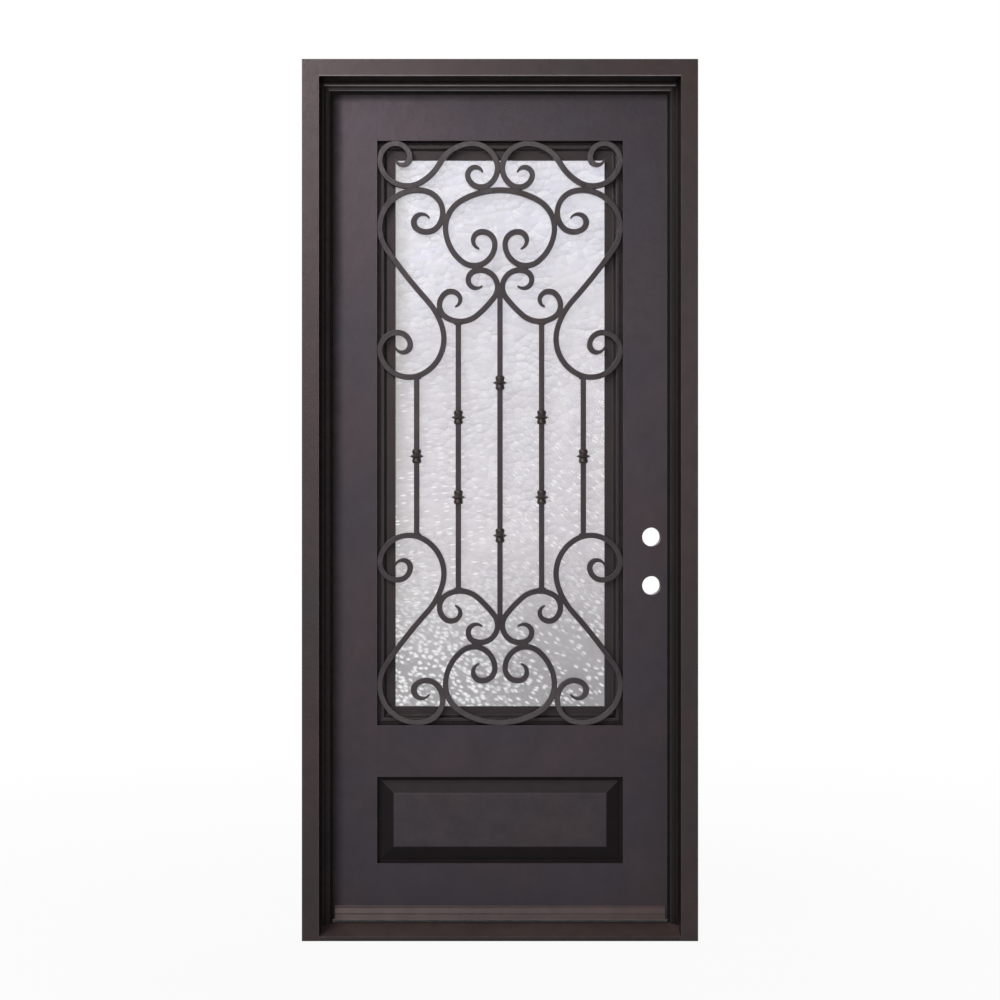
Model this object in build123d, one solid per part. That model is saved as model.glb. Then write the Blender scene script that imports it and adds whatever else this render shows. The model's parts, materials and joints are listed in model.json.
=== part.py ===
from build123d import *
from math import cos, radians, sin
import os

# Iron entry door in its frame, seen from outside along +Y. Millimetres, +Z up.
# X runs across the opening, outside is -Y, inside is +Y.
# The origin is the middle of the sill's underside.

# Frame
overall_width = 1118.0
overall_height = 2489.0
frame_depth = 150.0
jamb_face = 48.0
sill_front_height = 12.0
sill_height = 31.0

# Stop moulding: two steps with chamfered noses, on both sides and the head.
# A seal behind it shows past its edge.
stop_first_width = 10.0
stop_width = 22.5
stop_nose = 3.0
stop_second_setback = 7.0
stop_depth = 16.0
weatherstrip_width = 14.0
weatherstrip_depth = 4.0
weatherstrip_showing = 7.5
weatherstrip_clearance = 0.3

# Leaf
leaf_thickness = 50.0
leaf_side_gap = 5.0
leaf_top_gap = 5.0
leaf_bottom_gap = 8.0
lock_edge_bevel = 3.0
stile_width = 153.0
top_rail_height = 158.0
lock_rail_height = 149.0
bottom_rail_height = 161.0
panel_opening_height = 248.0

# Sweep on the leaf's foot: a flange, a sloped band and a drip nose, with how far each stands proud
sweep_side_clearance = 6.0
sweep_flange_height = 8.0
sweep_flange_proud = 2.0
sweep_band_height = 13.0
sweep_band_proud = 7.0
sweep_step_height = 5.0
sweep_nose_height = 11.0
sweep_nose_proud = 14.0
sweep_lip_height = 3.0

# Raised panel, alike on both faces
panel_groove_width = 12.0
panel_bevel_width = 37.0
panel_field_recess = 2.0
panel_bevel_rise = 11.0
panel_groove_drop = 3.0

# Glass sash: outer groove, ledge, bevel and flat, as widths and as depths from the leaf's outer face
sash_groove_width = 9.0
sash_ledge_width = 9.0
sash_bevel_width = 8.0
sash_flat_width = 25.0
sash_groove_depth = 31.0
sash_ledge_depth = 20.0
sash_flat_depth = 28.0
glass_depth = 33.0
glass_thickness = 12.0
glass_cover = 8.0
sash_back_recess = 2.0
bead_width = 7.0
bead_thickness = 3.0

# Hinges: weld-on barrels in the inner corner of leaf and jamb
hinge_count = 4
hinge_end_distance = 220.0
barrel_radius = 11.0
barrel_height = 55.0
barrel_gap = 0.5
barrel_face_clearance = 0.5
pin_radius = 6.0
pin_radial_clearance = 0.05
pin_length = 42.0
pin_end_clearance = 3.0
hinge_plate_width = 28.0
hinge_plate_thickness = 6.0

# Lock bores
lock_backset = 70.0
lockset_height = 998.5
bore_spacing = 139.7
cross_bore_radius = 27.0
latch_bore_radius = 12.7

# Grille: flat scroll strip, square pickets, turned collars
grille_recess = 3.0
bar_depth = 15.0
scroll_width = 14.0
scroll_tip_width = 3.0
scroll_taper_length = 60.0
scroll_contact_gap = 0.15
picket_width = 15.0
collar_height = 40.0
collar_end_radius = 13.5
collar_waist_radius = 11.3
collar_disc_radius = 20.0
collar_disc_half_height = 6.0
collar_end_chamfer = 2.5
collar_end_chamfer_height = 5.0
collar_end_band = 2.0
centre_collar_rise = 220.0
centre_collar_sag = 8.5
inner_collar_rise = 115.0
inner_collar_sag = 3.0

# The scrolls are drawn on a square grid, which follows the opening's width.
# Counted in its squares: half the opening, the drop to the centre scroll, and picket to picket.
grid_square_count = 353
row_square_count = 134
picket_square_count = 120

half_width = overall_width / 2
reveal_x = half_width - jamb_face
head_underside = overall_height - jamb_face
frame_front = -frame_depth / 2
frame_back = frame_depth / 2
leaf_back = frame_back
leaf_front = leaf_back - leaf_thickness
stop_back = leaf_front - weatherstrip_depth
stop_front = stop_back - stop_depth
seal_edge_x = reveal_x - stop_width - weatherstrip_showing
leaf_edge_x = reveal_x - leaf_side_gap
leaf_bottom = sill_height + leaf_bottom_gap
leaf_top = head_underside - leaf_top_gap
opening_x = leaf_edge_x - stile_width
panel_bottom = leaf_bottom + bottom_rail_height
panel_top = panel_bottom + panel_opening_height
glazing_bottom = panel_top + lock_rail_height
glazing_top = leaf_top - top_rail_height
sash_width = sash_groove_width + sash_ledge_width + sash_bevel_width + sash_flat_width
hinge_axis_x = -(leaf_edge_x + leaf_side_gap / 2)
hinge_axis_y = leaf_back + barrel_radius + barrel_face_clearance
lock_bore_x = leaf_edge_x - lock_backset
deadbolt_height = lockset_height + bore_spacing
grille_front = leaf_front + grille_recess
grille_middle_y = grille_front + bar_depth / 2
grid_square = opening_x / grid_square_count
scroll_row_top = glazing_top - grid_square * row_square_count
grille_mid_height = (scroll_row_top + glazing_bottom + scroll_contact_gap) / 2


def block(x0, x1, y0, y1, z0, z1):
    """A box between two corners."""
    return Pos((x0 + x1) / 2, (y0 + y1) / 2, (z0 + z1) / 2) * Box(x1 - x0, y1 - y0, z1 - z0)


def prism_xz(points, y0, y1):
    """An outline of (x, z) points carried from y0 to y1."""
    outline = Polyline(*[(x, y0, z) for x, z in points], close=True)
    return extrude(make_face(outline), amount=y1 - y0, dir=(0, 1, 0))


def prism_along_z(points, z0, z1):
    """An outline of (x, y) points carried from z0 to z1."""
    outline = Polyline(*[(x, y, z0) for x, y in points], close=True)
    return extrude(make_face(outline), amount=z1 - z0, dir=(0, 0, 1))


def prism_along_x(points, x0, x1):
    """An outline of (z, y) points carried from x0 to x1."""
    outline = Polyline(*[(x0, y, z) for z, y in points], close=True)
    return extrude(make_face(outline), amount=x1 - x0, dir=(1, 0, 0))


def mitred_frame(left, right, bottom, top, profile):
    """Four mitred mouldings inside a rectangle. The profile's points are (inset, y)."""
    reach = max(inset for inset, y in profile)
    y0 = min(y for inset, y in profile)
    y1 = max(y for inset, y in profile)
    upright_left = prism_along_z([(left + inset, y) for inset, y in profile], bottom, top)
    upright_right = prism_along_z([(right - inset, y) for inset, y in profile], bottom, top)
    across_bottom = prism_along_x([(bottom + inset, y) for inset, y in profile], left, right)
    across_top = prism_along_x([(top - inset, y) for inset, y in profile], left, right)
    outer = [(left, bottom), (right, bottom), (right, top), (left, top)]
    inner = [
        (left + reach, bottom + reach),
        (right - reach, bottom + reach),
        (right - reach, top - reach),
        (left + reach, top - reach),
    ]
    wedges = [
        prism_xz([outer[i], outer[(i + 1) % 4], inner[(i + 1) % 4], inner[i]], y0, y1) for i in range(4)
    ]
    return {
        "bottom": across_bottom & wedges[0],
        "right": upright_right & wedges[1],
        "top": across_top & wedges[2],
        "left": upright_left & wedges[3],
    }


def hinge_jamb():
    points = [
        (-half_width, 0),
        (-reveal_x, 0),
        (-reveal_x, head_underside),
        (-half_width, overall_height),
    ]
    return prism_xz(points, frame_front, frame_back)


def head_jamb():
    points = [
        (-reveal_x, head_underside),
        (reveal_x, head_underside),
        (half_width, overall_height),
        (-half_width, overall_height),
    ]
    return prism_xz(points, frame_front, frame_back)


def threshold():
    profile = [
        (0, frame_front),
        (sill_front_height, frame_front),
        (sill_height, leaf_front),
        (sill_height, frame_back),
        (0, frame_back),
    ]
    return prism_along_x(profile, -reveal_x, reveal_x)


def stops():
    """The moulding on both sides and the head. The sides stand on the slope of the sill."""
    second_front = stop_front + stop_second_setback
    profile = [
        (0, stop_back),
        (0, stop_front),
        (stop_first_width - stop_nose, stop_front),
        (stop_first_width, stop_front + stop_nose),
        (stop_first_width, second_front),
        (stop_width - stop_nose, second_front),
        (stop_width, second_front + stop_nose),
        (stop_width, stop_back),
    ]
    sides = mitred_frame(-reveal_x, reveal_x, 0, head_underside, profile)
    return {
        "hinge_side_stop": sides["left"] - threshold(),
        "strike_side_stop": sides["right"] - threshold(),
        "head_stop": sides["top"],
    }


def weatherstrip():
    """The seal on the back of the stops, down both sides to the sill."""
    strip_back = leaf_front - weatherstrip_clearance
    inner_top = head_underside - stop_width - weatherstrip_showing
    outer_x = seal_edge_x + weatherstrip_width
    outer = block(-outer_x, outer_x, stop_back, strip_back, 0, inner_top + weatherstrip_width)
    inner = block(-seal_edge_x, seal_edge_x, stop_back, strip_back, 0, inner_top)
    return outer - inner - threshold()


def door_sweep():
    """The stepped moulding across the foot of the leaf's outer face."""
    band_top = leaf_bottom + sweep_lip_height + sweep_nose_height + sweep_step_height + sweep_band_height
    band_foot = band_top - sweep_band_height
    nose_top = band_foot - sweep_step_height
    profile = [
        (leaf_bottom, leaf_front),
        (leaf_bottom, leaf_front - sweep_nose_proud),
        (leaf_bottom + sweep_lip_height, leaf_front - sweep_nose_proud),
        (nose_top, leaf_front - sweep_band_proud),
        (band_foot, leaf_front - sweep_band_proud),
        (band_top, leaf_front - sweep_flange_proud),
        (band_top + sweep_flange_height, leaf_front - sweep_flange_proud),
        (band_top + sweep_flange_height, leaf_front),
    ]
    half_length = seal_edge_x - sweep_side_clearance
    return prism_along_x(profile, -half_length, half_length)


def hinge_stile():
    return block(-leaf_edge_x, -opening_x, leaf_front, leaf_back, leaf_bottom, leaf_top)


def lock_stile():
    outline = [
        (opening_x, leaf_front),
        (leaf_edge_x - lock_edge_bevel, leaf_front),
        (leaf_edge_x, leaf_back),
        (opening_x, leaf_back),
    ]
    stile = prism_along_z(outline, leaf_bottom, leaf_top)
    leaf_middle_y = (leaf_front + leaf_back) / 2
    for height in (lockset_height, deadbolt_height):
        cross_bore = Cylinder(cross_bore_radius, leaf_thickness + 2)
        stile -= Pos(lock_bore_x, leaf_middle_y, height) * Rot(90, 0, 0) * cross_bore
        latch_bore = Cylinder(latch_bore_radius, lock_backset + 2, align=(Align.CENTER, Align.CENTER, Align.MIN))
        stile -= Pos(lock_bore_x, leaf_middle_y, height) * Rot(0, 90, 0) * latch_bore
    return stile


def rail(bottom, top):
    return block(-opening_x, opening_x, leaf_front, leaf_back, bottom, top)


def panel_face_frustum(groove_y, base_y, field_y):
    """The bevelled raised field of one face, on a plain step up from the groove."""
    x = opening_x - panel_groove_width
    z0 = panel_bottom + panel_groove_width
    z1 = panel_top - panel_groove_width
    step = block(-x, x, min(groove_y, base_y), max(groove_y, base_y), z0, z1)
    inner_x = x - panel_bevel_width
    base = Polyline((-x, base_y, z0), (x, base_y, z0), (x, base_y, z1), (-x, base_y, z1), close=True)
    inner_z0 = z0 + panel_bevel_width
    inner_z1 = z1 - panel_bevel_width
    field = Polyline(
        (-inner_x, field_y, inner_z0),
        (inner_x, field_y, inner_z0),
        (inner_x, field_y, inner_z1),
        (-inner_x, field_y, inner_z1),
        close=True,
    )
    return step + loft([make_face(base), make_face(field)], ruled=True)


def raised_panel():
    field_front = leaf_front + panel_field_recess
    base_front = field_front + panel_bevel_rise
    groove_front = base_front + panel_groove_drop
    field_back = leaf_back - panel_field_recess
    base_back = field_back - panel_bevel_rise
    groove_back = base_back - panel_groove_drop
    core = block(-opening_x, opening_x, groove_front, groove_back, panel_bottom, panel_top)
    front = panel_face_frustum(groove_front, base_front, field_front)
    back = panel_face_frustum(groove_back, base_back, field_back)
    return core + front + back


def sash():
    groove_y = leaf_front + sash_groove_depth
    ledge_y = leaf_front + sash_ledge_depth
    flat_y = leaf_front + sash_flat_depth
    glass_y = leaf_front + glass_depth
    back_y = leaf_back - sash_back_recess
    ledge_start = sash_groove_width
    bevel_start = ledge_start + sash_ledge_width
    flat_start = bevel_start + sash_bevel_width
    rebate = sash_width - glass_cover
    profile = [
        (0, back_y),
        (0, groove_y),
        (ledge_start, groove_y),
        (ledge_start, ledge_y),
        (bevel_start, ledge_y),
        (flat_start, flat_y),
        (sash_width, flat_y),
        (sash_width, glass_y),
        (rebate, glass_y),
        (rebate, back_y),
    ]
    return mitred_frame(-opening_x, opening_x, glazing_bottom, glazing_top, profile)


def glass_pane():
    rebate = sash_width - glass_cover
    glass_front = leaf_front + glass_depth
    x = opening_x - rebate
    return block(-x, x, glass_front, glass_front + glass_thickness, glazing_bottom + rebate, glazing_top - rebate)


def glazing_bead():
    """The inner bead ring that holds the glass in the sash's rebate."""
    rebate = sash_width - glass_cover
    bead_front = leaf_front + glass_depth + glass_thickness
    bead_back = bead_front + bead_thickness
    x = opening_x - rebate
    z0 = glazing_bottom + rebate
    z1 = glazing_top - rebate
    ring = block(-x, x, bead_front, bead_back, z0, z1)
    inner_x = x - bead_width
    return ring - block(-inner_x, inner_x, bead_front, bead_back, z0 + bead_width, z1 - bead_width)


def hinge_heights():
    """Height of the joint between the two knuckles of each hinge, from the bottom up."""
    first = leaf_bottom + hinge_end_distance
    last = leaf_top - hinge_end_distance
    return [first + (last - first) * i / (hinge_count - 1) for i in range(hinge_count)]


def jamb_knuckle(height):
    """Lower barrel with its pin, on a plate welded to the jamb."""
    axis = Pos(hinge_axis_x, hinge_axis_y, height - barrel_height)
    barrel = Cylinder(barrel_radius, barrel_height, align=(Align.CENTER, Align.CENTER, Align.MIN))
    pin = Cylinder(pin_radius, barrel_height + pin_length, align=(Align.CENTER, Align.CENTER, Align.MIN))
    plate = block(
        hinge_axis_x - hinge_plate_width,
        hinge_axis_x,
        leaf_back,
        leaf_back + hinge_plate_thickness,
        height - barrel_height,
        height,
    )
    return axis * (barrel + pin) + plate


def leaf_knuckle(height):
    """Upper barrel with its blind bore, on a plate welded to the leaf."""
    bottom = height + barrel_gap
    axis = Pos(hinge_axis_x, hinge_axis_y, bottom)
    barrel = Cylinder(barrel_radius, barrel_height, align=(Align.CENTER, Align.CENTER, Align.MIN))
    bore_radius = pin_radius + pin_radial_clearance
    bore_depth = pin_length + pin_end_clearance
    bore = Cylinder(bore_radius, bore_depth, align=(Align.CENTER, Align.CENTER, Align.MIN))
    plate = block(
        hinge_axis_x,
        hinge_axis_x + hinge_plate_width,
        leaf_back,
        leaf_back + hinge_plate_thickness,
        bottom,
        bottom + barrel_height,
    )
    return axis * barrel + plate - axis * bore


def arc_step(x, z, heading, radius, sweep):
    """The point and heading reached on an arc. A positive sweep, in degrees, turns left."""
    side = 1 if sweep > 0 else -1
    turned = heading + sweep
    x1 = x + side * radius * (sin(radians(turned)) - sin(radians(heading)))
    z1 = z - side * radius * (cos(radians(turned)) - cos(radians(heading)))
    return x1, z1, turned


def chain_stations(start, heading, arcs):
    """The centreline of a chain of tangent arcs, given as outside radius and sweep.

    Each arc gives its middle and its end, with the length run so far.
    """
    x, z = start
    run = 0.0
    stations = []
    for outside_radius, sweep in arcs:
        radius = grid_square * outside_radius - scroll_width / 2
        for share in (0.5, 1.0):
            px, pz, turned = arc_step(x, z, heading, radius, sweep * share)
            stations.append((px, pz, turned, run + radius * radians(abs(sweep)) * share))
        x, z, heading, run = stations[-1]
    return stations


def strip_half_width(distance_to_tip):
    """Half the strip's width: full in the body, drawn out to a point at a tip."""
    share = min(1.0, max(0.0, distance_to_tip / scroll_taper_length))
    return (scroll_tip_width + (scroll_width - scroll_tip_width) * share ** 0.5) / 2


def tapered(stations):
    """The same stations with the strip's half width at each, thin at the chain's far end."""
    length = stations[-1][3]
    return [(x, z, heading, strip_half_width(length - run)) for x, z, heading, run in stations]


def edge_point(station, side):
    """A point of the strip's edge, left (1) or right (-1) of its centreline."""
    x, z, heading, half = station
    return (x - side * half * sin(radians(heading)), grille_front, z + side * half * cos(radians(heading)))


def strip(stations):
    """A flat scroll: both edges are arcs, each through three stations of the centreline."""
    edges = []
    for side in (1, -1):
        points = [edge_point(station, side) for station in stations]
        for i in range(0, len(points) - 2, 2):
            edges.append(ThreePointArc(points[i], points[i + 1], points[i + 2]))
    for end in (stations[0], stations[-1]):
        edges.append(Line(edge_point(end, 1), edge_point(end, -1)))
    return extrude(make_face(edges), amount=bar_depth, dir=(0, 1, 0))


def grille_point(x, drop):
    """A place on the scrolls' grid: across from the middle, and down from the opening's top."""
    return grid_square * x, glazing_top - grid_square * drop


def scroll(start, heading, backward, forward):
    """A scroll with two tips, as two chains of arcs from a point of its body."""
    ahead = tapered(chain_stations(start, heading, forward))
    behind = tapered(chain_stations(start, heading + 180, backward))
    behind = [(x, z, turned - 180, half) for x, z, turned, half in reversed(behind)]
    return strip(behind + [(*start, heading, scroll_width / 2)] + ahead)


def top_scroll():
    """The left S of the top row."""
    backward = [(164, -28), (86, -109.5), (58, -66), (48, -123.5), (28, -166)]
    forward = [(118, -54), (81, -80), (66, -71), (46, -110), (30, -69), (29, -103.5)]
    return scroll(grille_point(-172.8, 62.5), 60, backward, forward)


def side_scroll():
    """The long S beside the pickets, upper left."""
    backward = [(1447, -7.5), (115, -136), (71, -113.5), (51, -90), (31, -203.5)]
    forward = [(211, -25.5), (121, -78.5), (92, -103), (59, -102.5), (43, -88.5), (29, -167)]
    return scroll(grille_point(-210.2, 458.1), -48, backward, forward)


def small_scroll():
    """The small C above an inner picket, upper left. Its start lies on the outside edge."""
    heading = -139
    backward = [(352, 11.5), (56, 76), (56, 75.5), (33, 70), (31, 128)]
    forward = [(83, -72.5), (49, -80.5), (52, -25), (35, -95.5), (28, -109.5)]
    outside_x, outside_z = grille_point(-60.0, 505.7)
    half = scroll_width / 2
    start = (outside_x + half * sin(radians(heading)), outside_z - half * cos(radians(heading)))
    return scroll(start, heading, backward, forward)


def centre_scroll():
    """The large upper centre scroll: two mirrored halves forged in one piece."""
    arcs = [(227, 30.5), (99, 66), (135, 44), (64, 78.5), (71, 49), (43, 103), (31, 36), (32, 115)]
    start = (0, scroll_row_top - scroll_width / 2)
    half = strip([(*start, 180, scroll_width / 2)] + tapered(chain_stations(start, 180, arcs)))
    return half + mirrored_across(half)


def mirrored_across(shape):
    return mirror(shape, about=Plane.YZ)


def mirrored_below(shape):
    return mirror(shape, about=Plane.XY.offset(grille_mid_height))


def picket(column, drop, scrolls):
    """A square bar between the upper and lower scrolls, its ends coped to them."""
    x, top = grille_point(column * picket_square_count, drop)
    bottom = 2 * grille_mid_height - top
    half = picket_width / 2
    bar = block(x - half, x + half, grille_front, grille_front + bar_depth, bottom, top)
    for piece in scrolls:
        bar -= piece
    return bar


def collar(x, z):
    """A turned collar: bulging ends, narrow waists and a sharp middle disc, bored square for its picket."""
    end = collar_height / 2
    bulge_outer = end - collar_end_chamfer_height
    bulge_inner = bulge_outer - collar_end_band
    outline = Polyline(
        (0, -end),
        (collar_end_radius - collar_end_chamfer, -end),
        (collar_end_radius, -bulge_outer),
        (collar_end_radius, -bulge_inner),
        (collar_waist_radius, -collar_disc_half_height),
        (collar_disc_radius, 0),
        (collar_waist_radius, collar_disc_half_height),
        (collar_end_radius, bulge_inner),
        (collar_end_radius, bulge_outer),
        (collar_end_radius - collar_end_chamfer, end),
        (0, end),
        close=True,
    )
    turned = revolve(make_face(Plane.XZ * outline), axis=Axis.Z)
    half = picket_width / 2
    turned -= block(-half, half, -bar_depth / 2, bar_depth / 2, -end, end)
    return Pos(x, grille_middle_y, z) * turned


def collar_places():
    """Centres of the collars as (x, height)."""
    spacing = grid_square * picket_square_count
    centre = grille_mid_height - centre_collar_sag
    inner = grille_mid_height - inner_collar_sag
    places = [(0, centre + side * centre_collar_rise) for side in (1, -1)]
    for column in (-1, 1):
        places += [(column * spacing, inner + side * inner_collar_rise) for side in (1, -1)]
        places.append((2 * column * spacing, grille_mid_height))
    return places


def build():
    nodes = {}
    nodes["hinge_jamb"] = hinge_jamb()
    nodes["strike_jamb"] = mirrored_across(hinge_jamb())
    nodes["head_jamb"] = head_jamb()
    nodes["threshold"] = threshold()
    nodes.update(stops())
    nodes["weatherstrip"] = weatherstrip()
    nodes["door_sweep"] = door_sweep()
    nodes["hinge_stile"] = hinge_stile()
    nodes["lock_stile"] = lock_stile()
    nodes["top_rail"] = rail(glazing_top, leaf_top)
    nodes["lock_rail"] = rail(panel_top, glazing_bottom)
    nodes["bottom_rail"] = rail(leaf_bottom, panel_bottom)
    nodes["raised_panel"] = raised_panel()
    for side, member in sash().items():
        nodes["sash_" + side] = member
    nodes["glass_pane"] = glass_pane()
    nodes["glazing_bead"] = glazing_bead()
    for number, height in enumerate(hinge_heights(), start=1):
        nodes[f"jamb_hinge_{number}"] = jamb_knuckle(height)
        nodes[f"leaf_hinge_{number}"] = leaf_knuckle(height)
    scrolls = {}
    scrolls["top_scroll_left"] = top_scroll()
    scrolls["side_scroll_upper_left"] = side_scroll()
    scrolls["small_scroll_upper_left"] = small_scroll()
    for name in ("side_scroll", "small_scroll"):
        scrolls[f"{name}_lower_left"] = mirrored_below(scrolls[f"{name}_upper_left"])
    for name in list(scrolls):
        scrolls[name.replace("left", "right")] = mirrored_across(scrolls[name])
    scrolls["centre_scroll_upper"] = centre_scroll()
    scrolls["centre_scroll_lower"] = mirrored_below(scrolls["centre_scroll_upper"])
    nodes.update(scrolls)
    pieces = list(scrolls.values())
    nodes["picket_centre"] = picket(0, 436, pieces)
    for side, name in ((-1, "left"), (1, "right")):
        nodes[f"picket_inner_{name}"] = picket(side, 521, pieces)
        nodes[f"picket_outer_{name}"] = picket(2 * side, 681, pieces)
    nodes["collars"] = Compound([collar(x, z).solid() for x, z in collar_places()])
    return nodes


os.makedirs("parts", exist_ok=True)
for name, shape in build().items():
    export_step(shape, f"parts/{name}.step")
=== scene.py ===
import json
import math

import bpy
import numpy as np
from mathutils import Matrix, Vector
from mathutils.bvhtree import BVHTree


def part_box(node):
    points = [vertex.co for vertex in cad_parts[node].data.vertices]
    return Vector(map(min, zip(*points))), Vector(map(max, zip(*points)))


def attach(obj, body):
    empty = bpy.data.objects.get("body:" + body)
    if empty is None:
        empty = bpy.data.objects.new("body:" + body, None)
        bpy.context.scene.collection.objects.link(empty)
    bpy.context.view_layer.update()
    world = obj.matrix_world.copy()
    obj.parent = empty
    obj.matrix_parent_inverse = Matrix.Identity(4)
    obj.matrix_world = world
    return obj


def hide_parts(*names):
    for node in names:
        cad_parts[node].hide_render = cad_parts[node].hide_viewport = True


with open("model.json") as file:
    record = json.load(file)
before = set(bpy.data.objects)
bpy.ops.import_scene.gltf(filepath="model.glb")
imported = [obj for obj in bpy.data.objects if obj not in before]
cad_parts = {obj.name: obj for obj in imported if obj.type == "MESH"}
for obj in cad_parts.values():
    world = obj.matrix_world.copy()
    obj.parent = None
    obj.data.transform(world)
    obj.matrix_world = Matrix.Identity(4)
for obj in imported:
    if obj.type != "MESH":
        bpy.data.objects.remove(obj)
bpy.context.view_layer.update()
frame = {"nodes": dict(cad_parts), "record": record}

# Iron entry door in its frame. Metres, +Z up, outside is -Y.

nodes = frame["nodes"]

SEED = 7
BLACK = (0.0, 0.0, 0.0)
WHITE = (1.0, 1.0, 1.0)


# Shader helpers

def material(name):
    """A new material, its tree and its Principled surface."""
    made = bpy.data.materials.new(name)
    made.use_nodes = True
    tree = made.node_tree
    return made, tree, tree.nodes["Principled BSDF"]


def node(tree, kind, values=None, **settings):
    """A shader node with its settings and the values of its unlinked sockets."""
    made = tree.nodes.new(kind)
    for key, value in settings.items():
        setattr(made, key, value)
    for key, value in (values or {}).items():
        made.inputs[key].default_value = value
    return made


def feed(tree, socket, value):
    """Links a socket to another one, or sets it to a plain value."""
    if isinstance(value, bpy.types.NodeSocket):
        tree.links.new(value, socket)
    else:
        socket.default_value = value


def rgb(value):
    return (*value, 1.0)


def noise(tree, vector, scale, detail, roughness=0.5):
    made = node(tree, "ShaderNodeTexNoise", {"Scale": scale, "Detail": detail, "Roughness": roughness})
    tree.links.new(vector, made.inputs["Vector"])
    return made.outputs["Fac"]


def remap(tree, value, low, high, to_low=0.0, to_high=1.0):
    """A value stretched from one range to another, and held within it."""
    limits = {"From Min": low, "From Max": high, "To Min": to_low, "To Max": to_high}
    made = node(tree, "ShaderNodeMapRange", limits)
    tree.links.new(value, made.inputs["Value"])
    return made.outputs["Result"]


def mix_colour(tree, factor, a, b, blend="MIX"):
    """A colour mix. The factor and both colours are sockets or plain values."""
    made = node(tree, "ShaderNodeMix", data_type="RGBA", blend_type=blend)
    for socket, value in ((made.inputs["Factor"], factor), (made.inputs[6], a), (made.inputs[7], b)):
        feed(tree, socket, value)
    return made.outputs[2]


def maths(tree, operation, a, b=None):
    made = node(tree, "ShaderNodeMath", operation=operation)
    for socket, value in zip(made.inputs, (a, b)):
        if value is not None:
            feed(tree, socket, value)
    return made.outputs[0]


def bump(tree, height, distance, below=None):
    made = node(tree, "ShaderNodeBump", {"Distance": distance, "Strength": 1.0})
    tree.links.new(height, made.inputs["Height"])
    if below is not None:
        tree.links.new(below, made.inputs["Normal"])
    return made.outputs["Normal"]


def coordinates(tree, vector):
    """The X, Y and Z sockets of a place or a direction."""
    parts = node(tree, "ShaderNodeSeparateXYZ")
    tree.links.new(vector, parts.inputs["Vector"])
    return parts.outputs


def object_place(tree):
    """The place on the object itself, so that a pattern moves with its piece."""
    return node(tree, "ShaderNodeTexCoord").outputs["Object"]


def drifted(tree, value, drift, amount):
    """A coordinate with some noise added, so that a zone doesn't end on a straight line."""
    return maths(tree, "ADD", value, maths(tree, "MULTIPLY", drift, amount))


# Masks of the iron

LEAF_MIDDLE = 0.05
LEAF_HALF_THICKNESS = 0.025
# Heights over which the grille's top and foot are painted lighter: a painted highlight where light catches
# the curls
GRILLE_TOP_LIGHT = (2.14, 2.24, 0.0, 0.8)
GRILLE_FOOT_LIGHT = (0.64, 0.76, 1.0, 0.0)


def inside(tree, place, limits):
    """1 where every named coordinate lies between its limits, 0 elsewhere.

    A bar before the letter of an axis stands for the distance from its zero.
    """
    parts = coordinates(tree, place)
    mask = None
    for axis, (low, high) in limits.items():
        value = parts[axis[-1]]
        if axis.startswith("|"):
            value = maths(tree, "ABSOLUTE", value)
        above = maths(tree, "GREATER_THAN", value, low)
        below = maths(tree, "LESS_THAN", value, high)
        band = maths(tree, "MULTIPLY", above, below)
        mask = band if mask is None else maths(tree, "MULTIPLY", mask, band)
    return mask


def recess_mask(tree, place, start, end):
    """From 0 at one depth under the leaf's faces to 1 at another, alike from outside and inside."""
    from_middle = maths(tree, "SUBTRACT", coordinates(tree, place)["Y"], LEAF_MIDDLE)
    from_middle = maths(tree, "ABSOLUTE", from_middle)
    return remap(tree, from_middle, LEAF_HALF_THICKNESS - start, LEAF_HALF_THICKNESS - end)


def lit_ends_mask(tree, place):
    """How much painted highlight lies on the grille: most at its foot, nearly as much at its top, not
    between.
    """
    height = coordinates(tree, place)["Z"]
    top = remap(tree, height, *GRILLE_TOP_LIGHT)
    foot = remap(tree, height, *GRILLE_FOOT_LIGHT)
    return maths(tree, "MAXIMUM", top, foot)


# Iron and rubber

# Painted shade for recesses and for the leaf's painted shadows, and the lighter tone painted on the upward
# faces of recesses where light from above falls
PAINTED_SHADE_TONE = (0.0042, 0.0032, 0.0027)
UPWARD_LIGHT_TONE = (0.026, 0.0225, 0.0215)


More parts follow.
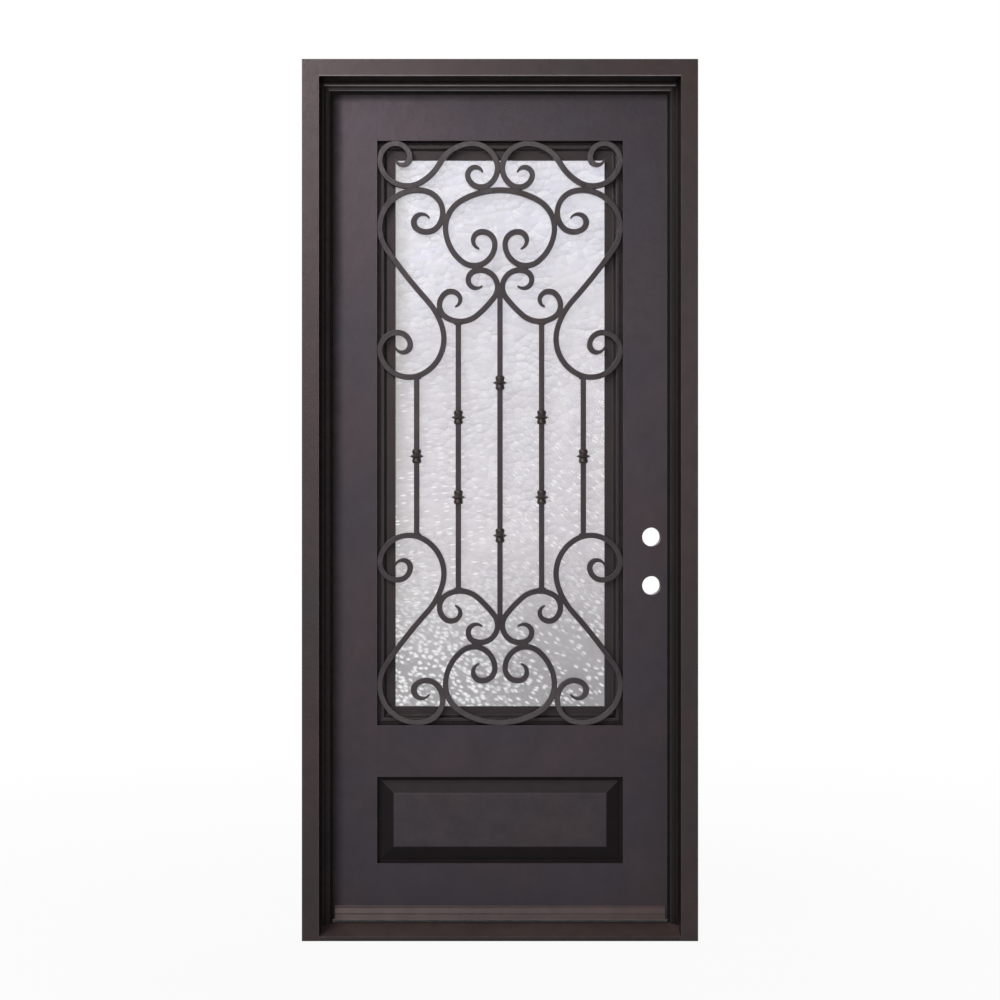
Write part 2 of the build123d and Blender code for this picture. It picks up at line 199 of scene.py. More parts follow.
def iron(name, cool, warm, rough=0.36, pitting=0.0001, patch_scale=2.2, speck=0.10, specular=0.5,
         recess=None, zones=(), ends=None, tint=(1.0, 0.83, 0.87), swell=None, painted_shadows=()):
    """Dark bronze paint on iron: slow cool and warm patches, brush cloud, speckle and pitting.

    zones: limits with their own painted highlight and shade tones. ends: the painted highlight tone of the
    grille's top and foot.
    recess: the depths between which painted shade sets in, lighter on upward faces, and its strength.
    painted_shadows: soft painted shadows, each as axis, start, end and strength.
    swell: the scale and height of the waves of hammered bars.
    """
    made, tree, shader = material(name)
    place = object_place(tree)
    patches = remap(tree, noise(tree, place, patch_scale, 3.0, 0.6), 0.36, 0.64)
    colour = mix_colour(tree, patches, rgb(cool), rgb(warm))
    # The grille's top and foot get a painted highlight in the tone given as ends
    if ends:
        colour = mix_colour(tree, lit_ends_mask(tree, place), colour, rgb(ends))
    # Painted highlights and painted shade within the given limits
    for limits, tone in zones:
        colour = mix_colour(tree, inside(tree, place, limits), colour, rgb(tone))
    cloud = remap(tree, noise(tree, place, 17.0, 6.0, 0.62), 0.3, 0.7, 0.84, 1.16)
    fine = noise(tree, place, 420.0, 3.0, 0.6)
    grain = remap(tree, fine, 0.25, 0.75, 1.0 - speck, 1.0 + speck)
    both = maths(tree, "MULTIPLY", cloud, grain)
    shade = node(tree, "ShaderNodeCombineColor")
    for channel in ("Red", "Green", "Blue"):
        tree.links.new(both, shade.inputs[channel])
    colour = mix_colour(tree, 1.0, colour, shade.outputs["Color"], "MULTIPLY")
    sheen = remap(tree, noise(tree, place, 31.0, 5.0, 0.65), 0.3, 0.7, rough - 0.05, rough + 0.07)
    # Painted shade in recesses, painted lighter on upward faces as if lit from above
    if recess:
        start, end, strength = recess
        depth = maths(tree, "MULTIPLY", recess_mask(tree, place, start, end), strength)
        normal = node(tree, "ShaderNodeNewGeometry").outputs["Normal"]
        upward = remap(tree, coordinates(tree, normal)["Z"], 0.05, 0.3)
        recess_shade_tone = mix_colour(tree, upward, rgb(PAINTED_SHADE_TONE), rgb(UPWARD_LIGHT_TONE))
        colour = mix_colour(tree, depth, colour, recess_shade_tone)
        sheen = drifted(tree, sheen, depth, 0.4)
    # Painted shadows cast by the frame onto the leaf's edges
    for axis, start, end, strength in painted_shadows:
        cast_shadow = remap(tree, coordinates(tree, place)[axis], start, end, 0.0, strength)
        colour = mix_colour(tree, cast_shadow, colour, rgb(PAINTED_SHADE_TONE))
        sheen = drifted(tree, sheen, cast_shadow, 0.5)
    tree.links.new(colour, shader.inputs["Base Color"])
    tree.links.new(sheen, shader.inputs["Roughness"])
    shader.inputs["Specular IOR Level"].default_value = specular
    shader.inputs["Specular Tint"].default_value = rgb(tint)
    pits = bump(tree, fine, pitting * 2)
    swell_scale, swell_height = swell or (60.0, pitting * 5)
    waves = bump(tree, noise(tree, place, swell_scale, 4.0, 0.55), swell_height, below=pits)
    tree.links.new(waves, shader.inputs["Normal"])
    return made


def rubber():
    """Black compression seal with a little dust and a fine grain."""
    made, tree, shader = material("seal_rubber")
    place = object_place(tree)
    dust = remap(tree, noise(tree, place, 55.0, 5.0, 0.65), 0.35, 0.75)
    colour = mix_colour(tree, dust, rgb((0.003, 0.003, 0.003)), rgb((0.010, 0.009, 0.0085)))
    tree.links.new(colour, shader.inputs["Base Color"])
    rough = remap(tree, noise(tree, place, 130.0, 3.0), 0.3, 0.7, 0.55, 0.75)
    tree.links.new(rough, shader.inputs["Roughness"])
    shader.inputs["Specular IOR Level"].default_value = 0.15
    tree.links.new(bump(tree, noise(tree, place, 500.0, 2.0), 0.0002), shader.inputs["Normal"])
    return made


# Glass

# Tones of the pane: low and high on it, its pebbles there, and what covers them in part
PANE_LOW = (0.70, 0.665, 0.70)
PANE_HIGH = (0.83, 0.82, 0.92)
PEBBLE_LOW = (0.82, 0.78, 0.83)
PEBBLE_HIGH = (0.97, 0.96, 1.0)
CREST = (0.98, 0.97, 1.0)
VALLEY = (0.52, 0.50, 0.53)
CELL_RIM = (0.55, 0.53, 0.56)
CLOUD = (0.70, 0.67, 0.68)
SHADED_EDGE = (0.46, 0.44, 0.42)
PANE_FOOT = (0.36, 0.35, 0.365)
SHINE = (0.9, 0.9, 0.9)

# Zones of the pane: heights, and places across it from the hinge side to the lock side
HIGH_ZONE = (1.6, 2.5)
FOOT_ZONE = (0.88, 1.30, 1.0, 0.0)
DASH_ZONE = (1.45, 1.95, 1.0, 0.12)
EDGE_ZONE = (-0.305, -0.255, 0.8, 0.0)
LOCK_SIDE_ZONE = (0.0, 0.2)

# Cells of the pane: angle in degrees, length, width and shift of the pattern
PEBBLES = (8.0, 0.025, 0.019, (0.1, 0.0, 0.2))

# Light marks in such cells, with the share of cells that have one, and its core and rim in cells
RISING = (7.0, 0.030, 0.0082, (0.0, 0.0, 0.0), 0.35, (0.17, 0.38))
FALLING = (-36.0, 0.026, 0.0088, (0.4, 0.0, 0.3), 0.35, (0.17, 0.38))
BLOBS = (-16.0, 0.020, 0.0125, (0.2, 0.0, 0.7), 0.78, (0.20, 0.47))
LEANING = (-32.0, 0.023, 0.0105, (0.6, 0.0, 0.1), 0.55, (0.18, 0.43))


def cells(tree, place, angle, length, width, shift, feature="F1"):
    """Flat cells in the pane's plane, stretched and turned, and the flat place they are read at."""
    turning = {"Rotation": (0, math.radians(angle), 0), "Location": shift}
    turn = node(tree, "ShaderNodeMapping", turning, vector_type="POINT")
    tree.links.new(place, turn.inputs["Vector"])
    parts = coordinates(tree, turn.outputs["Vector"])
    flat = node(tree, "ShaderNodeCombineXYZ")
    tree.links.new(maths(tree, "DIVIDE", parts["X"], length), flat.inputs["X"])
    tree.links.new(maths(tree, "DIVIDE", parts["Z"], width), flat.inputs["Y"])
    even = {"Scale": 1.0, "Randomness": 1.0}
    made = node(tree, "ShaderNodeTexVoronoi", even, voronoi_dimensions="2D", feature=feature)
    tree.links.new(flat.outputs["Vector"], made.inputs["Vector"])
    return made, flat.outputs["Vector"]


def chance(tree, cell):
    """The random number of each cell."""
    pick = node(tree, "ShaderNodeSeparateColor")
    tree.links.new(cell.outputs["Color"], pick.inputs["Color"])
    return pick.outputs["Red"]


def pebbles(tree, place):
    """The pane's cells, and how far a point lies above the middle of its own."""
    cell, flat = cells(tree, place, *PEBBLES)
    offset = node(tree, "ShaderNodeVectorMath", operation="SUBTRACT")
    tree.links.new(flat, offset.inputs[0])
    tree.links.new(cell.outputs["Position"], offset.inputs[1])
    return cell, coordinates(tree, offset.outputs["Vector"])["Y"]


def marks(tree, place, angle, length, width, shift, share, core):
    """Light marks, one in a share of the cells: 1 inside a mark, 0 between them."""
    cell = cells(tree, place, angle, length, width, shift)[0]
    middle = remap(tree, cell.outputs["Distance"], *core, 1.0, 0.0)
    chosen = remap(tree, chance(tree, cell), 1.0 - share, 1.0 - share + 0.2)
    return maths(tree, "MULTIPLY", middle, chosen)


def wobble(tree, place, scale, amount):
    """The place with a little noise added, for uneven outlines."""
    stir = node(tree, "ShaderNodeTexNoise", {"Scale": scale, "Detail": 2.0})
    tree.links.new(place, stir.inputs["Vector"])
    shift = node(tree, "ShaderNodeVectorMath", {"Scale": amount}, operation="SCALE")
    tree.links.new(stir.outputs["Color"], shift.inputs[0])
    both = node(tree, "ShaderNodeVectorMath", operation="ADD")
    tree.links.new(place, both.inputs[0])
    tree.links.new(shift.outputs["Vector"], both.inputs[1])
    return both.outputs["Vector"]


def glass_body(tree, place, across, high):
    """The pane before its light marks: pebbles lit above and shaded below, soft clouds, a shaded edge."""
    body = mix_colour(tree, high, rgb(PANE_LOW), rgb(PANE_HIGH))
    own_tone = mix_colour(tree, high, rgb(PEBBLE_LOW), rgb(PEBBLE_HIGH))
    cell, lift = pebbles(tree, place)
    rim = cells(tree, place, *PEBBLES, feature="DISTANCE_TO_EDGE")[0].outputs["Distance"]
    clear = remap(tree, noise(tree, place, 9.0, 3.0), 0.42, 0.58, 0.25, 1.0)
    crest = maths(tree, "MULTIPLY", remap(tree, lift, 0.05, 0.5, 0.0, 0.35), clear)
    valley = maths(tree, "MULTIPLY", remap(tree, lift, -0.55, -0.12, 0.45, 0.0), clear)
    outline = maths(tree, "MULTIPLY", remap(tree, rim, 0.0, 0.10, 0.4, 0.0), clear)
    layers = (
        (remap(tree, chance(tree, cell), 0.25, 0.8, 0.0, 0.6), own_tone),
        (crest, rgb(CREST)),
        (valley, rgb(VALLEY)),
        (outline, rgb(CELL_RIM)),
        (remap(tree, noise(tree, place, 14.0, 5.0, 0.6), 0.40, 0.68, 0.0, 0.4), rgb(CLOUD)),
        (remap(tree, across, *EDGE_ZONE), rgb(SHADED_EDGE)),
    )
    for cover, tone in layers:
        body = mix_colour(tree, cover, body, tone)
    return body


def glass_shine(tree, place, across, height, slow, foot):
    """Where the pane flashes: dashes, fewer higher up, that give way to round blobs at the foot."""
    lock_side = remap(tree, drifted(tree, across, slow, 0.18), *LOCK_SIDE_ZONE)
    dashes = mix_colour(tree, lock_side, marks(tree, place, *RISING), marks(tree, place, *FALLING))
    fewer = remap(tree, drifted(tree, height, slow, 0.36), *DASH_ZONE)
    dashes = mix_colour(tree, fewer, rgb(BLACK), dashes)
    uneven = wobble(tree, place, 60.0, 0.012)
    leaning = marks(tree, uneven, *LEANING)
    blobs = maths(tree, "MAXIMUM", marks(tree, uneven, *BLOBS), leaning)
    blobs = mix_colour(tree, lock_side, blobs, leaning)
    shine = mix_colour(tree, foot, dashes, blobs)
    return mix_colour(tree, 1.0, shine, rgb(SHINE), "MULTIPLY")


def hammered_glass():
    """Obscure glass: lilac white cells above, greyer below, with light dashes and, low down, blobs."""
    made, tree, shader = material("hammered_glass")
    place = object_place(tree)
    parts = coordinates(tree, place)
    across, height = parts["X"], parts["Z"]
    slow = noise(tree, place, 2.6, 3.0, 0.6)
    high = remap(tree, drifted(tree, height, slow, 0.9), *HIGH_ZONE)
    foot = remap(tree, drifted(tree, height, noise(tree, place, 7.0, 2.0), 0.3), *FOOT_ZONE)
    body = glass_body(tree, place, across, high)
    body = mix_colour(tree, maths(tree, "MULTIPLY", foot, 0.9), body, rgb(PANE_FOOT))
    shine = glass_shine(tree, place, across, height, slow, foot)
    tree.links.new(mix_colour(tree, shine, body, rgb(WHITE)), shader.inputs["Base Color"])
    rough = remap(tree, noise(tree, place, 40.0, 2.0), 0.3, 0.7, 0.12, 0.24)
    tree.links.new(rough, shader.inputs["Roughness"])
    shader.inputs["Transmission Weight"].default_value = 0.85
    shader.inputs["IOR"].default_value = 1.5
    tree.links.new(bump(tree, noise(tree, place, 70.0, 2.0), 0.0004), shader.inputs["Normal"])
    return made


# Finishes

# Limits on the object with painted light: painted highlights along edges and faces, and painted shade in the
# frame's reveals and on the sill's front face
FRAME_PAINTED_LIGHT = (
    # Painted shade in the reveals, then painted highlights along the jambs' and head's front inner edges
    ({"|X": (-1.0, 0.5115), "Y": (-0.0745, 0.0200), "Z": (0.05, 2.4415)}, (0.0045, 0.0038, 0.0035)),
    ({"|X": (0.5100, 0.5130), "Y": (-0.0760, -0.0745), "Z": (0.0, 2.4410)}, (0.046, 0.038, 0.037)),
    ({"Z": (2.4400, 2.4440), "Y": (-0.0760, -0.0745), "|X": (-1.0, 0.5110)}, (0.150, 0.132, 0.130)),
)
# Painted highlight lines along the stops' noses, and stop faces painted lighter as if lit
STOP_PAINTED_LIGHT = (
    ({"|X": (0.4880, 0.4912), "Z": (0.0, 2.4200)}, (0.040, 0.034, 0.032)),
    ({"Z": (2.4212, 2.4275), "|X": (-1.0, 0.4940)}, (0.062, 0.054, 0.054)),
    ({"Z": (2.4338, 2.4395), "|X": (-1.0, 0.5060)}, (0.038, 0.033, 0.032)),
    ({"Z": (2.4312, 2.4340), "|X": (-1.0, 0.5040)}, (0.42, 0.385, 0.385)),
    ({"Z": (2.4186, 2.4212), "|X": (-1.0, 0.4912)}, (0.230, 0.205, 0.208)),
)
# A painted highlight line low on the sill, and painted shade on its front face
SILL_PAINTED_LIGHT = (
    ({"Z": (0.0380, 0.0425), "Y": (0.0100, 0.0125)}, (0.150, 0.132, 0.128)),
    ({"Y": (-0.0760, -0.0745)}, (0.014, 0.0115, 0.0110)),
)

# Soft painted shadows on the leaf, cast by the frame along its hinge side and its head
LEAF_PAINTED_SHADOWS = (
    ("X", -0.446, -0.481, 0.85),
    ("Z", 2.388, 2.414, 0.7),
)
LEAF_TINT = (1.0, 0.85, 0.95)

finishes = {
    "frame_iron": iron(
        "frame_bronze", (0.0210, 0.0195, 0.0200), (0.0330, 0.0200, 0.0180), zones=FRAME_PAINTED_LIGHT,
    ),
    "sill_iron": iron(
        "sill_bronze", (0.062, 0.045, 0.042), (0.074, 0.050, 0.045), rough=0.45, patch_scale=3.0,
        zones=SILL_PAINTED_LIGHT,
    ),
    "leaf_iron": iron(
        "leaf_bronze", (0.0240, 0.0220, 0.0285), (0.0330, 0.0220, 0.0240), tint=LEAF_TINT, painted_shadows=LEAF_PAINTED_SHADOWS,
    ),
    "sash_iron": iron(
        "sash_bronze", (0.017, 0.0145, 0.0155), (0.021, 0.0165, 0.0165), rough=0.48, patch_scale=6.0,
        specular=0.4,
    ),
    "grille_iron": iron(
        "grille_forged", (0.024, 0.021, 0.024), (0.029, 0.024, 0.024), rough=0.42, pitting=0.00022,
        patch_scale=5.0, speck=0.16, ends=(0.056, 0.050, 0.050), tint=(1.0, 0.86, 0.92),
        swell=(26.0, 0.0034),
    ),
    "hinge_iron": iron(
        "hinge_bronze", (0.026, 0.023, 0.024), (0.031, 0.024, 0.022), rough=0.38, patch_scale=9.0,
    ),
    "seal": rubber(),
    "glass": hammered_glass(),
}
# The stops' paint is a darker copy of the frame's bronze: painted shade where the stops sit in the reveal
shaded_stop_finish = iron(
    "stop_bronze_shaded", (0.0080, 0.0066, 0.0058), (0.0110, 0.0084, 0.0072), rough=0.46, specular=0.3,
    zones=STOP_PAINTED_LIGHT,
)
# The raised panel: painted shade in its groove and bevels, and a base set lighter than the leaf's as painted
# light that makes up for its weaker specular
panel_finish = iron(
    "panel_bronze", (0.0390, 0.0360, 0.0430), (0.0480, 0.0360, 0.0380), specular=0.3,
    recess=(0.0021, 0.0032, 0.95), tint=LEAF_TINT,
)
collar_finish = iron(
    "collar_turned", (0.034, 0.030, 0.026), (0.042, 0.034, 0.030), rough=0.34, patch_scale=8.0,
)
# Lighter finishes for the bevelled edges: painted highlights where edges catch light
edge_highlight = iron(
    "edge_highlight", (0.050, 0.043, 0.041), (0.060, 0.047, 0.043), rough=0.33, patch_scale=6.0,
)
grille_edge_highlight = iron(
    "grille_edge_highlight", (0.034, 0.031, 0.032), (0.042, 0.035, 0.034), rough=0.38, patch_scale=6.0,
)
slot_of = {part["node"]: part["material_slot"] for part in frame["record"]["subparts"]}
finish_of_node = {
    "collars": collar_finish,
    "raised_panel": panel_finish,
    "hinge_side_stop": shaded_stop_finish,
    "strike_side_stop": shaded_stop_finish,
    "head_stop": shaded_stop_finish,
}


# CAD nodes: finishes, softened edges and the coat on the bars

MERGE_DISTANCE = 1e-5
SHARP_ANGLE = math.radians(32)
EDGE_SEGMENTS = 2
SCROLL_COAT = 0.0012
PICKET_COAT = SCROLL_COAT / 3

# Edge width and the finish on it, lighter where given as a painted highlight along the edges. The jambs are
# left with crisp edges.
edges_of_slot = {
    "sill_iron": (0.0010, edge_highlight),
    "leaf_iron": (0.0003, None),
    "sash_iron": (0.0009, grille_edge_highlight),
    "grille_iron": (0.0012, grille_edge_highlight),
    "hinge_iron": (0.0010, grille_edge_highlight),
    "seal": (0.0012, None),
}
edges_of_node = {
    "hinge_side_stop": (0.0006, None),
    "strike_side_stop": (0.0006, None),
    "head_stop": (0.0006, None),
    "collars": (0.0008, edge_highlight),
}


def merge_corners(piece):
    """Joins the corners that the solid's faces share, which the steps after it need."""
    weld = piece.modifiers.new("merge", "WELD")
    weld.merge_threshold = MERGE_DISTANCE


def soften(piece, width, highlight_finish):
    """Rounds the sharp edges of a CAD node with modifiers alone, giving them a lighter finish as a painted
    highlight where one is named.
    """
    merge_corners(piece)
    edge = piece.modifiers.new("edges", "BEVEL")
    edge.width = width
    edge.segments = EDGE_SEGMENTS
    edge.limit_method = "ANGLE"
    edge.angle_limit = SHARP_ANGLE
    edge.use_clamp_overlap = False
    if highlight_finish:
        piece.data.materials.append(highlight_finish)
        edge.material = len(piece.data.materials) - 1
    smooth = piece.modifiers.new("shade", "WEIGHTED_NORMAL")
    smooth.keep_sharp = True


def thicken(piece, amount):
    """The paint and forge scale that make a bar a little thicker on every side."""
    merge_corners(piece)
    coat = piece.modifiers.new("coat", "DISPLACE")
    coat.mid_level = 0.0
    coat.strength = amount


for name, piece in nodes.items():
    slot = slot_of[name]
    piece.data.materials.clear()
    piece.data.materials.append(finish_of_node.get(name, finishes[slot]))
    if "scroll" in name:
        thicken(piece, SCROLL_COAT)
    elif "picket" in name:
        thicken(piece, PICKET_COAT)
    edge = edges_of_node.get(name, edges_of_slot.get(slot))
    if edge:
        soften(piece, *edge)


# Helpers for new pieces

def add_piece(name, mesh, body, slot, finish=None, smooth=None):
    """Links a new mesh as a piece that rides on a body. Every face is smooth unless smooth lists them."""
    made = bpy.data.objects.new(name, mesh)
    bpy.context.scene.collection.objects.link(made)
    mesh.materials.append(finish or finishes[slot])
    mesh.polygons.foreach_set("use_smooth", smooth or [True] * len(mesh.polygons))
    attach(made, body)
    return made


def circle(count):
    """Cosine and sine of evenly spaced angles."""
    angles = [2 * math.pi * i / count for i in range(count)]
    return [(math.cos(angle), math.sin(angle)) for angle in angles]


def stacked_faces(base, rings, count):
    """The faces around a stack of rings that starts at a vertex, closed at both ends."""
    faces = []
    for start in range(base, base + (rings - 1) * count, count):
        for i in range(count):
            a, b = start + i, start + (i + 1) % count
            faces.append((a, b, b + count, a + count))
    faces.append(tuple(range(base, base + count))[::-1])
    last = base + (rings - 1) * count
    faces.append(tuple(range(last, last + count)))
    return faces


def new_mesh(name, vertices, faces):
    mesh = bpy.data.meshes.new(name)
    mesh.from_pydata(vertices, [], faces)
    mesh.validate()
    return mesh


# Glass pane: flat front, dimpled back

GLASS_STEP = 0.0042
DIMPLE_SPACING = 0.0145
DIMPLE_DEPTH = 0.0011
DIMPLE_JITTER = 0.42
DIMPLE_STRETCH = (0.55, 1.25)
DIMPLE_RADIUS = 0.62
FLAT_BORDER = 0.012
BACK_INSET = 0.0002
FAR_AWAY = 9.0


def dimples(width, height):
    """Jittered dimple centres with a stretch each. Jitter and radius are in spacings."""
    rng = np.random.default_rng(SEED)
    columns = int(width / DIMPLE_SPACING) + 2
    rows = int(height / DIMPLE_SPACING) + 2
    gx, gz = np.meshgrid(np.arange(columns), np.arange(rows))
    jitter = rng.uniform(-DIMPLE_JITTER, DIMPLE_JITTER, (columns * rows, 2))
    centres = np.stack([gx.ravel(), gz.ravel()], axis=1) + jitter
    return columns, rows, centres * DIMPLE_SPACING, rng.uniform(*DIMPLE_STRETCH, len(centres))


def dimple_distance(x, z, width, height):
    """How far each point lies from its nearest dimple centre, in spacings."""
    columns, rows, centres, stretch = dimples(width, height)
    column = np.clip((x / DIMPLE_SPACING).astype(int), 0, columns - 1)
    row = np.clip((z / DIMPLE_SPACING).astype(int), 0, rows - 1)
    nearest = np.full(len(x), FAR_AWAY)
    for dx in (-1, 0, 1, 2):
        for dz in (-1, 0, 1, 2):
            index = np.clip(row + dz, 0, rows - 1) * columns + np.clip(column + dx, 0, columns - 1)
            away = np.hypot(x - centres[index, 0], (z - centres[index, 1]) * stretch[index])
            nearest = np.minimum(nearest, away / DIMPLE_SPACING)
    return nearest


def glass_sheet():
    """The mesh of the pane, and whether each of its faces is smooth."""
    low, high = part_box("glass_pane")
    width, height = high.x - low.x, high.z - low.z
    nx, nz = round(width / GLASS_STEP), round(height / GLASS_STEP)
    grids = np.meshgrid(np.linspace(0, width, nx + 1), np.linspace(0, height, nz + 1))
    x, z = (grid.ravel() for grid in grids)
    bowl = np.clip(1 - (dimple_distance(x, z, width, height) / DIMPLE_RADIUS) ** 2, 0, 1)
    border = np.minimum.reduce([x, width - x, z, height - z])
    fade = np.clip(border / FLAT_BORDER, 0, 1)
    back = high.y - BACK_INSET - DIMPLE_DEPTH * (1 - bowl) * fade
    front = [
        (low.x, low.y, low.z),
        (high.x, low.y, low.z),
        (high.x, low.y, high.z),
        (low.x, low.y, high.z),
    ]
    vertices = front + np.stack([x + low.x, back, z + low.z], axis=1).tolist()
    corner = np.arange(len(x)).reshape(nz + 1, nx + 1) + len(front)
    a, b, c, d = (corner[:-1, :-1], corner[:-1, 1:], corner[1:, 1:], corner[1:, :-1])
    rear_faces = np.stack([b, a, d, c], axis=-1).reshape(-1, 4).tolist()
    faces = [(0, 1, 2, 3)] + rear_faces
    sides = (
        (0, 1, corner[0, :]),
        (1, 2, corner[:, -1]),
        (2, 3, corner[-1, ::-1]),
        (3, 0, corner[::-1, 0]),
    )
    for start, end, run in sides:
        faces.append((start, *run.tolist(), end)[::-1])
    mesh = bpy.data.meshes.new("glass_hammered")
    mesh.from_pydata(vertices, [], faces)
    return mesh, [False] + [True] * len(rear_faces) + [False] * len(sides)


glass_mesh, glass_smooth = glass_sheet()
glass = add_piece("glass_hammered", glass_mesh, "door_leaf", "glass", smooth=glass_smooth)
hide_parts("glass_pane")


# Welds where the bars touch one another

# Half length and half width of a weld, and the depth behind the bars' front with its share of both
WELD_LENGTH = 0.0160
WELD_WIDTH = 0.0034
WELD_PROFILE = ((0.0002, 0.55), (0.0006, 0.86), (0.0016, 1.0), (0.012, 1.0))
WELD_SIDES = 20

# The welds between small scrolls are longer and wider, and lie nearer the middle of the grille
HEART_SHIFT = 0.014
HEART_LENGTH = 1.75
HEART_WIDTH = 1.2

# The welds at the ends of the pickets, and how far from the end their middle lies
PICKET_WELD_LENGTH = 0.0135
PICKET_END = 0.001

# Touches are sought a little behind the front, where the bars have their full width
FLAT_ENOUGH = 1e-5
PROBE_DEPTH = 0.004
SEARCH_REACH = 0.02
TOUCH_REACH = 0.0005
NEXT_TOUCH = 0.06
EDGE_STEPS = 5


def front_outline(piece, front):
    """Points along the edges of a bar's front face."""
    points = []
    mesh = piece.data
    for edge in mesh.edges:
        a, b = (mesh.vertices[i].co for i in edge.vertices)
        if abs(a.y - front) < FLAT_ENOUGH and abs(b.y - front) < FLAT_ENOUGH:
            points += [a.lerp(b, i / EDGE_STEPS) for i in range(EDGE_STEPS)]
    return points


def touching_places(pieces, front):
    """Where two bars all but touch: their names, the middle and the direction along the touch."""
    trees = {}
    for name, piece in pieces.items():
        corners = [v.co for v in piece.data.vertices]
        trees[name] = BVHTree.FromPolygons(corners, [tuple(p.vertices) for p in piece.data.polygons])
    places = []
    names = sorted(pieces)
    for i, first in enumerate(names):
        outline = front_outline(pieces[first], front)
        for second in names[i + 1:]:
            near = []
            for point in outline:
                probe = point + Vector((0, PROBE_DEPTH, 0))
                found, normal, _, away = trees[second].find_nearest(probe, SEARCH_REACH)
                if found is not None:
                    near.append((away, probe, found, normal))
            while near:
                away, probe, found, normal = min(near, key=lambda entry: entry[0])
                if away > TOUCH_REACH:
                    break
                along = normal.cross(Vector((0, 1, 0))).normalized()
                places.append((first, second, (probe + found) / 2, along))
                near = [entry for entry in near if (entry[1] - probe).length > NEXT_TOUCH]
    return places


def weld_mesh(places, front, name):
    """Flat rounded weld lenses in the notches beside each touch."""
    vertices, faces = [], []
    for middle, along, length, width in places:
        faces += stacked_faces(len(vertices), len(WELD_PROFILE), WELD_SIDES)
        across = along.cross(Vector((0, 1, 0)))
        for depth, scale in WELD_PROFILE:
            for cosine, sine in circle(WELD_SIDES):
                spot = middle + along * (length * scale * cosine) + across * (width * scale * sine)
                vertices.append((spot.x, front + depth, spot.z))
    return new_mesh(name, vertices, faces)


scroll_pieces = {name: piece for name, piece in nodes.items() if "scroll" in name}
grille_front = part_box("centre_scroll_upper")[0].y
middle_height = sum(corner.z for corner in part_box("glass_pane")) / 2
welds = []
for first, second, middle, along in touching_places(scroll_pieces, grille_front):
    length, width = WELD_LENGTH, WELD_WIDTH
    if first.startswith("small_scroll") and second.startswith("small_scroll"):
        middle.z += math.copysign(HEART_SHIFT, middle_height - middle.z)
        length, width = WELD_LENGTH * HEART_LENGTH, WELD_WIDTH * HEART_WIDTH
    welds.append((middle, along, length, width))
for name in nodes:
    if name.startswith("picket") and not name.endswith("centre"):
        low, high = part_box(name)
        for z in (low.z + PICKET_END, high.z - PICKET_END):
            middle = Vector(((low.x + high.x) / 2, low.y, z))
            welds.append((middle, Vector((1, 0, 0)), PICKET_WELD_LENGTH, WELD_WIDTH))
add_piece("scroll_welds", weld_mesh(welds, grille_front, "scroll_welds"), "door_leaf", "grille_iron")


# The thin rim that stands out around the middle of each collar

RIM_REACH = 0.0002
RIM_HALF_HEIGHT = 0.0018
RIM_SUNK = 0.003
RIM_SIDES = 36
COLLARS_APART = 0.05


def collar_places(piece):
    """Middle and radius of each collar on the pickets."""
    groups = []
    for vertex in piece.data.vertices:
        spot = vertex.co
        for group in groups:
            beside = abs(group[0].x - spot.x) < COLLARS_APART
            if beside and abs(group[0].z - spot.z) < 2 * COLLARS_APART:
                group.append(spot)
                break
        else:
            groups.append([spot])
    places = []
    for group in groups:
        low = Vector(min(spot[i] for spot in group) for i in range(3))
        high = Vector(max(spot[i] for spot in group) for i in range(3))
        places.append(((low + high) / 2, (high.x - low.x) / 2))
    return places


def rim_mesh(places, name):
    """A shallow ring around each collar, sunk into it above and below."""
    vertices, faces = [], []
    for middle, radius in places:
        profile = (
            (radius - RIM_SUNK, -RIM_HALF_HEIGHT),
            (radius + RIM_REACH, -RIM_HALF_HEIGHT / 2),
            (radius + RIM_REACH, RIM_HALF_HEIGHT / 2),
            (radius - RIM_SUNK, RIM_HALF_HEIGHT),
        )
        faces += stacked_faces(len(vertices), len(profile), RIM_SIDES)
        for reach, height in profile:
            for cosine, sine in circle(RIM_SIDES):
                vertices.append((middle.x + reach * cosine, middle.y + reach * sine, middle.z + height))
    return new_mesh(name, vertices, faces)


rims = rim_mesh(collar_places(nodes["collars"]), "collar_rims")
add_piece("collar_rims", rims, "door_leaf", "grille_iron", finish=collar_finish)


# Stage: white floor and surroundings, one camera, soft lamps

FLOOR_REACH = 150.0
FLOOR_GREY = (0.6, 0.6, 0.6)
FRONT_GLOSS = 0.25
AMBIENT = 0.25
CAMERA_PLACE = (0.0, -5.203, 1.2446)
CAMERA_LENS = 65.44
SENSOR_WIDTH = 36.0

# Where each lamp stands, where it points, its width in metres and its power in watts
LAMPS = {
    "key_left": ((-3.2, -6.0, 4.6), (0.0, 0.0, 1.3), 2.0, 190.0),
    "front_upper_left": ((-1.45, -6.6, 3.75), (-1.45, 0.0, 3.75), 2.3, 56.0),
    "front_upper_right": ((1.15, -6.6, 3.5), (1.15, 0.0, 3.5), 2.3, 11.0),
    "front_lower_left": ((-0.95, -6.6, 1.2), (-0.95, 0.0, 1.2), 2.3, 17.0),
    "front_right": ((1.2, -6.6, 2.0), (1.2, 0.0, 2.0), 0.8, 14.0),
    "front_low": ((-0.35, -6.6, 0.5), (-0.35, 0.0, 0.5), 0.8, 12.0),
    "overhead": ((-1.5, -1.6, 3.6), (0.0, 0.0, 1.4), 1.0, 26.0),
    "rear": ((1.6, 3.0, 2.8), (0.0, 0.0, 1.2), 1.6, 60.0),
}


def stage_light(tree, glossy):
    """How far a ray sees the white stage: fully for camera and transmission rays, in part for glossy ones."""
    path = node(tree, "ShaderNodeLightPath")
    seen = maths(tree, "MAXIMUM", path.outputs["Is Camera Ray"], path.outputs["Is Transmission Ray"])
    return maths(tree, "MAXIMUM", seen, maths(tree, "MULTIPLY", path.outputs["Is Glossy Ray"], glossy))


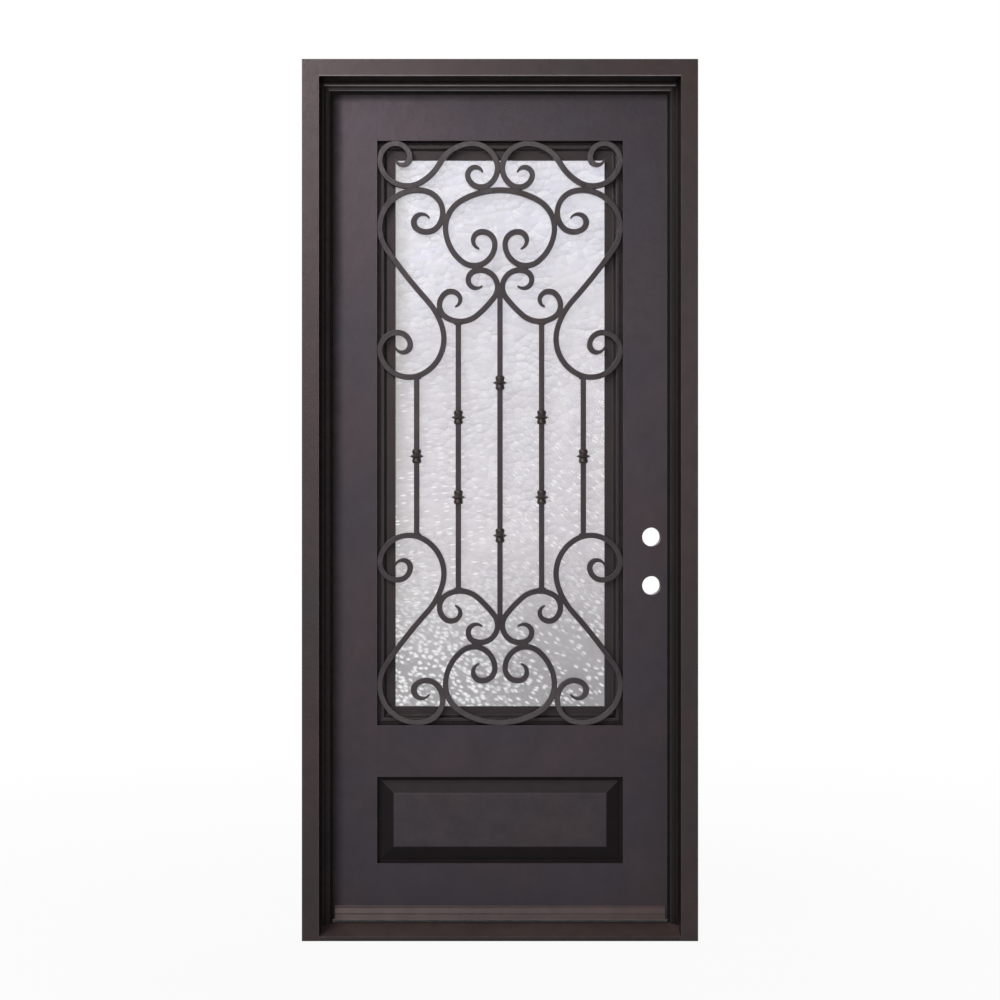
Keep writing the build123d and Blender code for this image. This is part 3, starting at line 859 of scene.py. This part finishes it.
def floor():
    """White to the eye, a little less so near the door, and grey to the light that falls on the door."""
    signs = ((-1, -1), (1, -1), (1, 1), (-1, 1))
    mesh = bpy.data.meshes.new("floor")
    mesh.from_pydata([(x * FLOOR_REACH, y * FLOOR_REACH, 0) for x, y in signs], [], [(0, 1, 2, 3)])
    made = bpy.data.objects.new("floor", mesh)
    bpy.context.scene.collection.objects.link(made)
    surface, tree, shader = material("floor_white")
    shader.inputs["Base Color"].default_value = rgb(FLOOR_GREY)
    shader.inputs["Roughness"].default_value = 0.9
    shader.inputs["Specular IOR Level"].default_value = 0.0
    away = node(tree, "ShaderNodeVectorMath", operation="LENGTH")
    tree.links.new(object_place(tree), away.inputs[0])
    share = remap(tree, away.outputs["Value"], 0.8, 4.0, 0.93, 1.0)
    glow = node(tree, "ShaderNodeEmission", {"Color": rgb(WHITE), "Strength": 1.0})
    blend = node(tree, "ShaderNodeMixShader")
    tree.links.new(maths(tree, "MULTIPLY", stage_light(tree, FRONT_GLOSS), share), blend.inputs["Fac"])
    tree.links.new(shader.outputs["BSDF"], blend.inputs[1])
    tree.links.new(glow.outputs["Emission"], blend.inputs[2])
    tree.links.new(blend.outputs["Shader"], tree.nodes["Material Output"].inputs["Surface"])
    mesh.materials.append(surface)


def surroundings():
    """White to the eye and behind the door, plain grey light from the front."""
    world = bpy.data.worlds.new("surroundings")
    bpy.context.scene.world = world
    world.use_nodes = True
    tree = world.node_tree
    back = tree.nodes["Background"]
    direction = coordinates(tree, node(tree, "ShaderNodeTexCoord").outputs["Generated"])
    behind = remap(tree, direction["Y"], -0.2, 0.2)
    level = remap(tree, stage_light(tree, behind), 0.0, 1.0, AMBIENT, 1.0)
    glossy = node(tree, "ShaderNodeLightPath").outputs["Is Glossy Ray"]
    from_front = maths(tree, "MULTIPLY", glossy, maths(tree, "SUBTRACT", 1.0, behind))
    level = maths(tree, "MULTIPLY", level, remap(tree, from_front, 0.0, 1.0, 1.0, FRONT_GLOSS))
    back.inputs["Color"].default_value = rgb(WHITE)
    tree.links.new(level, back.inputs["Strength"])


def lamp(name, place, aim, size, power):
    """A square lamp that lights the door and is itself not seen."""
    data = bpy.data.lights.new(name, "AREA")
    data.shape = "SQUARE"
    data.size = size
    data.energy = power
    made = bpy.data.objects.new(name, data)
    bpy.context.scene.collection.objects.link(made)
    made.location = place
    made.rotation_euler = (Vector(aim) - Vector(place)).to_track_quat("-Z", "Y").to_euler()
    made.visible_camera = False
    made.visible_transmission = False


def camera():
    """Straight on from outside."""
    data = bpy.data.cameras.new("camera")
    data.lens = CAMERA_LENS
    data.sensor_width = SENSOR_WIDTH
    made = bpy.data.objects.new("camera", data)
    bpy.context.scene.collection.objects.link(made)
    made.location = CAMERA_PLACE
    made.rotation_euler = (math.radians(90), 0, 0)
    bpy.context.scene.camera = made


floor()
surroundings()
camera()
for name, settings in LAMPS.items():
    lamp(name, *settings)

bpy.context.scene.view_settings.view_transform = "Standard"
